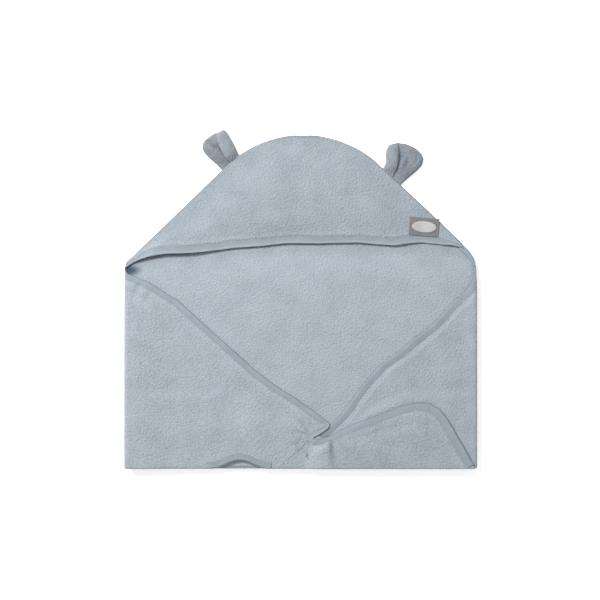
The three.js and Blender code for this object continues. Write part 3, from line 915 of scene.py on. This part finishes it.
def build_left():
    """Columns from the bound edge down to the hem, and under. The first ones go round the fold."""
    arc = np.linspace(1, 0, RING_COLUMNS + 1)[:-1]
    y_top = 39 + 12 * arc**0.6
    down = np.linspace(0, 1, 112)
    ring_y = y_top[:, None] + (HEM_Y - y_top)[:, None] * down
    ring_a = left_fold(ring_y) - arc[:, None] * math.pi * left_radius(ring_y)
    start = left_line[:, :2]
    hem_x = np.maximum.accumulate(left_line[:, 2])
    stretch = (hem_x[-1] - BACK_LEFT) / (hem_x[-1] - hem_x[0])
    hem_x = left_fold(HEM_Y) + (hem_x - hem_x[0]) * stretch
    end = np.stack([hem_x, hem_left(hem_x)], 1)
    inward = -outward_of(left_line, 1)
    length = np.linalg.norm(end - start, axis=1)
    reach = np.minimum(40, 0.33 * length)
    free = np.clip((start[:, 0] - BACK_LEFT) / 90, 0, 1)[:, None]
    middle = (1 - free) * (start + end) / 2 + free * (start + inward * reach[:, None])
    b = down[None, :, None]
    curve = (1 - b) ** 2 * start[:, None] + 2 * b * (1 - b) * middle[:, None] + b**2 * end[:, None]
    a = np.concatenate([ring_a, curve[..., 0]])
    y = np.concatenate([ring_y, curve[..., 1]])
    p = left_surface(a, y)
    edge = distance_to(left_line, a, y)
    t = thickness_by_tape(edge, width_left(a, y) - 1.5)
    ring = slice(0, RING_COLUMNS)
    t[ring] = np.where(edge[ring] < TAPE_COVER, 0.9, t[ring])
    hem_a, hem_y = a[:, -1], y[:, -1]
    hem_depth = np.minimum(UNDER_DEPTH, UNDER_SHARE * np.maximum(left_edge_y(hem_a) - hem_y, 16))
    hem_depth[ring] = UNDER_DEPTH
    under_y, below = (rows.T for rows in hem_rows(hem_y, hem_depth))
    ua = np.broadcast_to(hem_a[:, None], under_y.shape).copy()
    ua[ring] = left_fold(under_y[ring]) - arc[:, None] * math.pi * left_radius(under_y[ring])
    base = left_surface(ua, np.maximum(under_y, hem_y[:, None]))
    base[..., 1] = under_y
    normal = surface_normal(left_surface, ua, np.maximum(under_y, hem_y[:, None] + 1))
    normal[RING_COLUMNS:] = (0.0, 0.0, 1.0)
    p = np.concatenate([p, base - normal * below[..., None]], 1)
    t = np.concatenate([t, np.full(under_y.shape, CLOTH)], 1)
    t[:, -1] *= 0.4
    t[:, -2] *= 0.85
    y_flat = np.concatenate([y, 2 * hem_y[:, None] - under_y - 3], 1)
    a_all, y_all = np.concatenate([a, ua], 1), np.concatenate([y, under_y], 1)
    flat = np.stack([a_all + LEFT_PLACE, y_flat], -1)
    gathered = bump(np.hypot(a_all - 6, y_flat + 200) / 16)
    at_tape = np.concatenate([edge, np.full(under_y.shape, FAR)], 1) - width_left(a_all, y_all)
    # Lighter toward the left; a painted highlight on the pile just inside the tape, painted shade in the
    # groove beside the tape and in the gather at the pinch, and painted shade in the creases with painted
    # highlights on their ridges
    paler = 0.12 * (1 - smooth((a_all + 20) / 90))
    shade = paler + 0.08 * bump((at_tape - 4) / 3.5) - 0.07 * bump((at_tape - 0.2) / 1.5) - 0.20 * gathered
    shade = shade + 0.07 * crease_at(a_all, y_all, CREASES)
    # Painted shadow in the gap at the top of the fold, under the hood's corner
    shade[ring] -= 0.95 * smooth((y_all[ring] - 36) / 4)
    # Below the pinch, painted shade in the deep crease and a painted highlight on the ridge beside it
    below_pinch = smooth((-212 - y_all) / 8)
    shade = shade - 0.26 * below_pinch * bump((a_all - 47 + 0.1 * (y_all + 214)) / 4.5)
    shade = shade + 0.12 * below_pinch * bump((a_all - 27) / 8)
    return sheet_mesh("left_side_cloth", p, t, flat, terry, shade=shade), p


def width_left(x, y):
    """The left tape shows less of its width where it is gathered at the pinch, and lies flat on the lobe."""
    near = bump(np.hypot(x - 36, y + 197) / 17)
    on_lobe = smooth((x - 70) / 40) * smooth((y + 262) / 20)
    return TAPE_WIDTH - 1.0 + 3.0 * on_lobe - 4.6 * near


right_cloth, right_p = build_right()
corner_cloth, corner_p = build_right_corner()
left_cloth, left_p = build_left()
right_width = TAPE_WIDTH + 1.0 - 6.0 * smooth((right_line[:, 1] - 20) / 40)
right_body = -0.15 * (1 - smooth((right_line[:, 1] + 40) / 60))
split = int(np.searchsorted(right_line[:, 1], CORNER_Y))
below_split, above_split = slice(2, split + 1), slice(split, None)
right_tape, corner_tape = (
    tape(name, right_line[part], 1, right_surface, right_width[part], seed=900,
         rim=0.16, lip=-0.30, body=right_body[part])
    for name, part in (("right_side_tape", below_split), ("right_corner_tape", above_split))
)
sewn = slice(3, split)
right_thread = stitches("right_side_tape_stitches", right_line[sewn], 1, right_surface, right_width[sewn])

# The left tape starts behind the fold, and comes round it to the front
RING_TOP = 48.0
ring_points = [
    (left_fold(RING_TOP) - math.pi * left_radius(RING_TOP), 51.0),
    (left_fold(RING_TOP) - 1.6 * left_radius(RING_TOP), 47.5),
]
left_tape_line = even_line(ring_points + [place[:2] for place in LEFT_ROUTE], 2.0, 3.0)
left_width = width_left(left_tape_line[:, 0], left_tape_line[:, 1])
left_tape = tape("left_side_tape", left_tape_line, 1, left_surface, left_width, seed=300,
                 rim=0.05, lip=-0.70, body=-0.03)
left_thread = stitches("left_side_tape_stitches", left_tape_line[3:], 1, left_surface, left_width[3:])


# A stretch of the same tape along the lifted part of the left side's hem
def arch_points():
    x = np.linspace(ARCH_MIDDLE + ARCH_HALF * 1.12, ARCH_MIDDLE - ARCH_HALF * 1.12, 46)
    y = hem_left(x) - HEM_RADIUS - CLOTH / 2 + 0.8
    return even_line(np.stack([x, y], 1), 2.0, 3.0)


def arch_surface(a, y):
    z = left_height(a, np.maximum(y, hem_left(a)))
    return stack(a, y, settle(a, y, z + 0.9))


arch_line = arch_points()
arch_width = np.full(len(arch_line), 10.0)
arch_tape = tape("left_hem_tape", arch_line, 1, arch_surface, arch_width, 0.9, seed=500, rim=0.1, lip=-0.8)
arch_thread = stitches("left_hem_tape_stitches", arch_line[2:-2], 1, arch_surface, arch_width[2:-2])


# ---------------------------------------------------------------- the tail, folded in three behind
TAIL_HALF = (upper_high[0] - upper_low[0]) / 2


TAIL_RING_STEPS = 9


def half_round(z_top, from_y, towards):
    ring = np.linspace(0, math.pi, TAIL_RING_STEPS)
    return from_y - towards * HEM_RADIUS * np.sin(ring), z_top - HEM_RADIUS + HEM_RADIUS * np.cos(ring)


def build_tail(name, z_top, from_y, to_y, towards, place):
    """One fold of the tail: a half round at from_y, then flat one layer down, as far as to_y."""
    y_ring, z_ring = half_round(z_top, from_y, towards)
    y_flat = np.linspace(from_y, to_y, 96)[1:]
    y_line, z_line = np.r_[y_ring, y_flat], np.r_[z_ring, 0 * y_flat + z_top - PITCH]
    s = with_close_ends(150, 2 * TAIL_HALF)
    edge_wave = ripple(y_line * 2 + place, 0 * y_line)
    x = (2 * s[:, None] - 1) * (TAIL_HALF + edge_wave[None])
    y = np.broadcast_to(y_line, x.shape)
    z = np.broadcast_to(z_line, x.shape)
    p = stack(x, y, settle(x, y, z))
    gap = np.minimum(x - x[:1], x[-1:] - x)
    t = CLOTH * rounded(gap)
    run = np.r_[0, np.cumsum(np.hypot(np.diff(y_line), np.diff(z_line)))]
    flat = np.stack([x + place, np.broadcast_to(run, x.shape)], -1)
    return sheet_mesh(name, p, t, flat, terry, up=towards), p


tail_z = [mm_box(n)[1][2] - CLOTH / 2 for n in ("tail_panel_1", "tail_panel_2", "tail_corner")]
tail_1, tail_1_p = build_tail("tail_cloth_upper", BACK_Z, HEM_Y, TAIL_END - 0.3, 1, 2000)
tail_2, tail_2_p = build_tail("tail_cloth_middle", tail_z[0], TAIL_END, HEM_Y + 0.3, -1, 3000)
CORNER_RADIUS = 160.0  # of the tail's rounded corner


def corner_line():
    half = TAPE_WIDTH / 2
    centre = TAIL_END - CORNER_RADIUS
    reach = CORNER_RADIUS * math.sqrt(0.5)
    shoulder = centre + reach - (TAIL_HALF - reach)
    arc = np.linspace(3 * math.pi / 4, math.pi / 4, 40)
    points = [(-TAIL_HALF + half, shoulder + half)]
    points += [(CORNER_RADIUS * math.cos(q), centre + CORNER_RADIUS * math.sin(q)) for q in arc]
    points += [(TAIL_HALF - half, shoulder + half)]
    return even_line(points, 2.2, 6.0)


tail_line = corner_line()


def corner_surface(x, y):
    return stack(x, y, settle(x, y, tail_z[2] + 0 * x))


def build_corner():
    y_ring, z_ring = half_round(tail_z[1], HEM_Y, 1)
    share = np.linspace(0, 1, 92)[1:]
    x0, y0 = tail_line[:, 0], tail_line[:, 1]
    ring_shape = (len(x0), TAIL_RING_STEPS)
    y = np.concatenate([np.broadcast_to(y_ring, ring_shape), HEM_Y + (y0 - HEM_Y)[:, None] * share], 1)
    flat_z = np.full((len(x0), len(share)), tail_z[2])
    z = np.concatenate([np.broadcast_to(z_ring, ring_shape), flat_z], 1)
    x = np.broadcast_to(x0[:, None], y.shape)
    p = stack(x, y, settle(x, y, z))
    t = thickness_by_tape(distance_to(tail_line, x, y), TAPE_COVER)
    t[:, :TAIL_RING_STEPS] = CLOTH
    t = t * rounded(np.minimum(x - x[:1], x[-1:] - x) + 0.4)
    return sheet_mesh("tail_cloth_corner", p, t, np.stack([x + CORNER_PLACE, y], -1), terry), p


tail_3, tail_3_p = build_corner()
tail_tape = tape("tail_tape", tail_line, 1, corner_surface, height=0.8, seed=700)
tail_thread = stitches("tail_tape_stitches", tail_line[2:-2], 1, corner_surface, rise=0.62)


# ---------------------------------------------------------------- ears
LEFT_LOBE = [
    (-115.5, 191), (-127.5, 204.5), (-139.3, 214.8), (-145.8, 222), (-148, 229.7), (-145, 238), (-137, 244),
    (-128, 249),
]
LEFT_CREASE = [
    (-100, 198.5), (-105, 206.5), (-112.6, 214.8), (-116.6, 221.6), (-121, 231), (-124.5, 240), (-126, 249.8),
]
LEFT_ROLL = [
    (-90.5, 210), (-94, 217), (-101, 231.6), (-107, 242.3), (-111, 249.5), (-114, 254.2), (-118, 253.8),
]
RIGHT_ROLL = [
    (116.5, 187), (126, 198.5), (130.2, 207), (128.6, 213.5), (129, 221.6), (131, 228), (135, 232.2),
]
RIGHT_CREASE = [
    (134.5, 180.5), (140, 189), (143, 198), (144.5, 206), (145.4, 214), (145.4, 222), (146, 235.2),
]
RIGHT_LOBE = [
    (146, 168), (160, 181.5), (174.5, 194), (182, 201.5), (184.4, 211), (181, 219), (172, 227), (157, 233.4),
]
# Soft creases in each ear's lobe: where they start and end, their width and depth
LEFT_DENTS = [((-141, 240), (-119, 221), 4.5, -1.3), ((-146, 226), (-128, 216), 4.0, -0.7)]
RIGHT_DENTS = [((163, 212), (153, 194), 4.5, -1.3), ((176, 215), (170, 201), 5.0, -0.6)]
# The section of an ear: share across (0 the lobe's edge, 1 the crease, 2 the roll's edge), and height
EAR_SECTION = [
    (0.0, 0.4), (0.04, 1.5), (0.16, 3.1), (0.40, 4.3), (0.66, 4.2), (0.86, 3.2), (1.0, 1.9), (1.10, 1.2),
    (1.17, 1.7), (1.15, 2.9), (1.05, 3.9), (0.97, 5.0), (1.00, 6.2), (1.12, 7.2), (1.34, 7.7), (1.60, 7.0),
    (1.82, 5.2), (1.95, 3.0), (2.0, 0.9),
]
EAR_TUCK = (4.75, 10.8)  # places in the section between which the crease is in shade
EAR_Z = 2.2
EAR_LONG = 42  # roughly, from the seam to the tip


def build_ear(name, lobe, crease, roll, dents, place):
    """Two layers of terry sewn at the rim, folded along a crease so that one side rolls over the other."""
    rows, columns = 46, 84
    v = np.linspace(0, 1, rows)
    rails = []
    for places in (lobe, crease, roll):
        line = even_line(places, 0.5, 3.0)
        rails.append(resampled(np.linspace(0, len(line) - 1, rows), np.arange(len(line)), line))
    section = np.array(EAR_SECTION)
    along = np.r_[0, np.cumsum(np.hypot(np.diff(section[:, 0]) * 20, np.diff(section[:, 1])))]
    u = np.linspace(0, along[-1], columns)
    across, height = np.interp(u, along, section[:, 0]), np.interp(u, along, section[:, 1])
    kernel = np.array([1, 2, 3, 2, 1]) / 9
    across[2:-2], height[2:-2] = np.convolve(across, kernel, "valid"), np.convolve(height, kernel, "valid")
    first, second = np.minimum(across, 1), np.maximum(across - 1, 0)
    p = np.zeros((columns, rows, 3))
    for k in (0, 1):
        lobe_k, crease_k, roll_k = (rail[:, k] for rail in rails)
        p[..., k] = (lobe_k + (crease_k - lobe_k) * first[:, None]) + (roll_k - crease_k) * second[:, None]
    swell_up = 0.06 + 0.94 * smooth((v - 0.07) / 0.3) - 0.38 * smooth((v - 0.55) / 0.5)
    tip = 1 - smooth((v - 0.9) / 0.1) * 0.45
    p[..., 2] = EAR_Z + height[:, None] * (swell_up * tip)[None]
    on_lobe = (1 - smooth((across - 0.8) / 0.15))[:, None]
    dent = crease_at(p[..., 0], p[..., 1], dents) * on_lobe
    rumple = 0.45 * ripple(p[..., 0] * 3, p[..., 1] * 3)
    p[..., 2] += (rumple + dent) * smooth(v * 5 - 0.5)[None]
    rim = np.minimum(np.minimum(u, along[-1] - u)[:, None] + 0 * v, (1 - v)[None] * EAR_LONG)
    flat = np.stack([u[:, None] + 0 * v[None] + place, 55 * v[None] + 0 * u[:, None]], -1)
    normal = grid_normals(p)
    if normal[4, rows // 2, 2] < 0:
        normal = -normal
    puff = 1.0 * smooth(rim / 5)
    tuck_at = np.interp(EAR_TUCK, np.arange(len(section)), along)
    parts = []
    for layer, side, material in (("front", 1, lining), ("back", -1, terry)):
        middle = p + normal * (side * (0.55 + 0.65 * puff))[..., None]
        thick = 1.0 + 0.95 * smooth(rim / 2.5)
        sharp = smooth((v - 0.04) / 0.08) * (1 - 0.55 * smooth((v - 0.45) / 0.4))
        tuck = smooth((u - tuck_at[0]) / 1.6) * (1 - smooth((u - tuck_at[1]) / 1.6))
        tuck = tuck[:, None] * sharp[None]
        # Painted shade in the crease and round the rim, painted shade on the lobe and a painted highlight on
        # the roll, painted shade in the dents, and a random tone
        shade = -0.95 * tuck - 0.40 * bump(rim / 1.8) - 0.10 * on_lobe + 0.12 * (1 - on_lobe) + 0.26 * dent
        shade = shade + 0.16 * ripple(p[..., 0] * 2.2 + 90, p[..., 1] * 2.2)
        up = 1 if grid_normals(middle)[4, rows // 2, 2] > 0 else -1
        part = sheet_mesh(f"{name}_{layer}_cloth", middle, thick * 0.95, flat + 7 * side, material,
                          up=up, relief=0.8, shade=shade)
        parts.append((part, middle))
    return parts


left_ear = build_ear("left_ear", LEFT_LOBE, LEFT_CREASE, LEFT_ROLL, LEFT_DENTS, 120)
right_ear = build_ear("right_ear", RIGHT_LOBE, RIGHT_CREASE, RIGHT_ROLL, RIGHT_DENTS, 200)


# ---------------------------------------------------------------- label
label_low, label_high = mm_box("label")
LABEL_X, LABEL_Y = (label_low[0] + label_high[0]) / 2, (label_low[1] + label_high[1]) / 2
LABEL_W, LABEL_H, LABEL_TURN, LABEL_THICK = 45.0, 27.5, math.radians(-4.5), 0.8
LABEL_LIFT = 0.25  # of its underside over the hood
OVAL_W, OVAL_H, OVAL_THICK = 37.0, 17.0, 0.7


def on_label(u, v, lift):
    """A place on the label, which follows the hood under it with its corners a little raised."""
    c, s = math.cos(LABEL_TURN), math.sin(LABEL_TURN)
    x, y = LABEL_X + c * u - s * v, LABEL_Y + s * u + c * v
    corner = smooth(np.hypot(u / LABEL_W, v / LABEL_H) * 2 - 0.75) * 0.5
    quilt = 0.25 * ripple(x * 3, y * 3)
    return stack(x, y, settle(x, y, hood_height(x, y)) + CLOTH / 2 + (LABEL_LIFT + lift) + corner + quilt)


def build_label():
    u, v = with_close_ends(70, LABEL_W) - 0.5, with_close_ends(44, LABEL_H) - 0.5
    uu, vv = np.meshgrid(u * LABEL_W, v * LABEL_H, indexing="ij")
    p = on_label(uu, vv, LABEL_THICK / 2)
    gap = np.minimum(LABEL_W / 2 - np.abs(uu), LABEL_H / 2 - np.abs(vv))
    t = LABEL_THICK * (0.55 + 0.45 * smooth(gap / 0.8)) * (1 + 0.18 * bump((gap - 1.0) / 0.5))
    shade = 0.22 * bump(gap / 0.5) - 0.16 * bump((gap - 1.5) / 0.6)
    return sheet_mesh("label_patch", p, t, np.stack([uu, vv], -1), label_cloth, relief=0, shade=shade)


def build_oval():
    r, q = np.linspace(0, 1, 22), np.linspace(0, 2 * math.pi, 97)
    rr, qq = np.meshgrid(r, q, indexing="ij")
    uu, vv = rr * OVAL_W / 2 * np.cos(qq), rr * OVAL_H / 2 * np.sin(qq)
    top = on_label(uu, vv, LABEL_THICK + 0.12)
    dome = 0.55 + 0.45 * np.sqrt(np.maximum(1 - rr**6, 0))
    top[..., 2] += OVAL_THICK * dome + 0.10 * bump((rr - 0.93) / 0.05)
    bottom = on_label(uu, vv, LABEL_THICK - 0.1)
    n, ring = rr.shape[0], rr.shape[1] - 1
    size = (n - 1) * ring + 1
    vertices, faces = [], []
    for block in (top, bottom):
        vertices += [block[1:, :-1].reshape(-1, 3), block[0, :1]]
    for base, flip in ((0, False), (size, True)):
        for i in range(n - 2):
            for k in range(ring):
                w = (k + 1) % ring
                near, far = base + i * ring, base + (i + 1) * ring
                quad = (near + k, far + k, far + w, near + w)
                faces.append(quad[::-1] if flip else quad)
    last = (n - 2) * ring
    for k in range(ring):
        w = (k + 1) % ring
        faces.append((last + k, size + last + k, size + last + w, last + w))
    for base, flip in ((0, False), (size, True)):
        centre = base + size - 1
        for k in range(0, ring, 2):
            quad = (centre, base + k, base + (k + 1) % ring, base + (k + 2) % ring)
            faces.append(quad[::-1] if flip else quad)
    vertices = np.concatenate(vertices)
    obj = mesh_object("label_oval_patch", vertices, faces, vertices, oval_cloth)
    fix_normals(obj)
    return obj


label_patch = build_label()
label_oval = build_oval()


def label_stitches():
    w, h = LABEL_W / 2 - 1.6, LABEL_H / 2 - 1.6
    corners = [(-w, -h), (w, -h), (w, h), (-w, h), (-w, -h)]
    line = np.concatenate([np.linspace(corners[k], corners[k + 1], 40, endpoint=False) for k in range(4)])
    path = on_label(line[:, 0], line[:, 1], LABEL_THICK + 0.05)
    up = np.tile([0.0, 0.0, 1.0], (len(line), 1))
    return thread_row("label_stitches", path, up)


label_thread = label_stitches()


# ---------------------------------------------------------------- bodies, and what stands for what
def point(x, y, z):
    return (x / MM, y / MM, z / MM)


LEFT_BEND = (point(BACK_LEFT, 0, BACK_Z), point(BACK_LEFT + 3, 0, BACK_Z + 6))
RIGHT_BEND = (point(BACK_RIGHT, 0, BACK_Z), point(BACK_RIGHT - 1.5, 0, BACK_Z + 3))

RIDERS = {
    "root": (back_cloth, corner_cloth, corner_tape, hood_cloth, hood_tape, hood_thread,
             label_patch, label_oval, label_thread),
    "left_side": (arch_tape, arch_thread),
    "tail_end": (tail_tape, tail_thread),
    "left_ear": [part for part, _ in left_ear],
    "right_ear": [part for part, _ in right_ear],
}
for body, pieces in RIDERS.items():
    for piece in pieces:
        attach(piece, body)
for piece in (left_cloth, left_tape, left_thread):
    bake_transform(piece)
for piece in (right_cloth, right_tape, right_thread):
    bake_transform(piece)
for piece, inner, outer, fold_y, fold_z, towards in (
    (tail_1, "root", "tail_upper", HEM_Y, BACK_Z, 1),
    (tail_2, "tail_upper", "tail_middle", TAIL_END, tail_z[0], -1),
    (tail_3, "tail_middle", "tail_end", HEM_Y, tail_z[1], 1),
):
    start, end = point(0, fold_y, fold_z + 1), point(0, fold_y + towards * 0.8, fold_z - 0.6)
    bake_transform(piece)
    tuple(start)
    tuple(end)

for piece, *nodes in (
    (back_cloth, "back_panel"), (hood_cloth, "hood_panel"), (hood_tape, "hood_binding"),
    (left_cloth, "left_side_panel", "left_fold"), (left_tape, "left_side_binding"),
    (right_cloth, "right_side_panel", "right_fold"), (right_tape, "right_side_binding"),
    (tail_1, "bottom_fold", "tail_panel_1"), (tail_2, "tail_fold_upper", "tail_panel_2"),
    (tail_3, "tail_fold_lower", "tail_corner"), (tail_tape, "tail_binding"),
    (left_ear[0][0], "left_ear_front"), (left_ear[1][0], "left_ear_back"),
    (right_ear[0][0], "right_ear_front"), (right_ear[1][0], "right_ear_back"),
    (label_patch, "label"), (label_oval, "label_oval"),
):
    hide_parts(*nodes)

SLOTS = {
    "terry": (back_cloth, hood_cloth, corner_cloth, left_cloth, right_cloth, tail_1, tail_2, tail_3,
              left_ear[1][0], right_ear[1][0]),
    "ear_lining": (left_ear[0][0], right_ear[0][0]),
    "binding": (hood_tape, left_tape, right_tape, corner_tape, tail_tape, arch_tape, hood_thread,
                left_thread, right_thread, tail_thread, arch_thread, label_thread),
    "label_cloth": (label_patch,),
    "label_oval": (label_oval,),
}
for slot, pieces in SLOTS.items():
    for piece in pieces:
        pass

area_m2(back_p)
area_m2(hood_p)
area_m2(left_p)
area_m2(right_p)
area_m2(corner_p)
area_m2(tail_1_p)
area_m2(tail_2_p)
area_m2(tail_3_p)
for parts in (left_ear, right_ear):
    for part, middle in parts:
        area_m2(middle)


# ---------------------------------------------------------------- camera, floor and light
FIELD = 0.9  # metres across the picture, at the top of the towel
LENS, SENSOR = 120.0, 36.0
TOP_Z = 0.016
AIM = (-0.0011, -0.0013)  # the middle of the picture
camera = bpy.data.objects.new("camera", bpy.data.cameras.new("camera"))
bpy.context.scene.collection.objects.link(camera)
camera.data.lens, camera.data.sensor_width = LENS, SENSOR
camera.data.clip_end = 200
camera.location = (*AIM, TOP_Z + FIELD * LENS / SENSOR)
bpy.context.scene.camera = camera

floor_mesh = bpy.data.meshes.new("floor")
SIZE = 40.0  # metres to each side, so that no view reaches its far edge
corners = [(-SIZE, -SIZE, 0), (SIZE, -SIZE, 0), (SIZE, SIZE, 0), (-SIZE, SIZE, 0)]
floor_mesh.from_pydata(corners, [], [(0, 1, 2, 3)])
floor = bpy.data.objects.new("floor", floor_mesh)
bpy.context.scene.collection.objects.link(floor)
paper = bpy.data.materials.new("paper")
paper.use_nodes = True
set_inputs(paper.node_tree.nodes["Principled BSDF"], Base_Color=(0.93, 0.93, 0.93, 1), Roughness=0.9,
           Specular_IOR_Level=0.0, Emission_Color=(1, 1, 1, 1), Emission_Strength=0.38)
floor_mesh.materials.append(paper)


def area_light(name, place, size, power):
    light = bpy.data.objects.new(name, bpy.data.lights.new(name, "AREA"))
    light.data.shape = "SQUARE"
    light.data.size = size
    light.data.energy = power
    light.location = place
    light.rotation_euler = (-Vector(place)).to_track_quat("-Z", "Y").to_euler()
    light.visible_camera = False
    bpy.context.scene.collection.objects.link(light)


area_light("key", (-1.5, 1.5, 2.1), 0.8, 112)
area_light("fill", (1.7, -0.9, 2.3), 2.0, 12)
world = bpy.data.worlds.new("studio")
world.use_nodes = True
set_inputs(world.node_tree.nodes["Background"], Color=(1, 1, 1, 1), Strength=0.58)
bpy.context.scene.world = world
bpy.context.scene.view_settings.view_transform = "Standard"
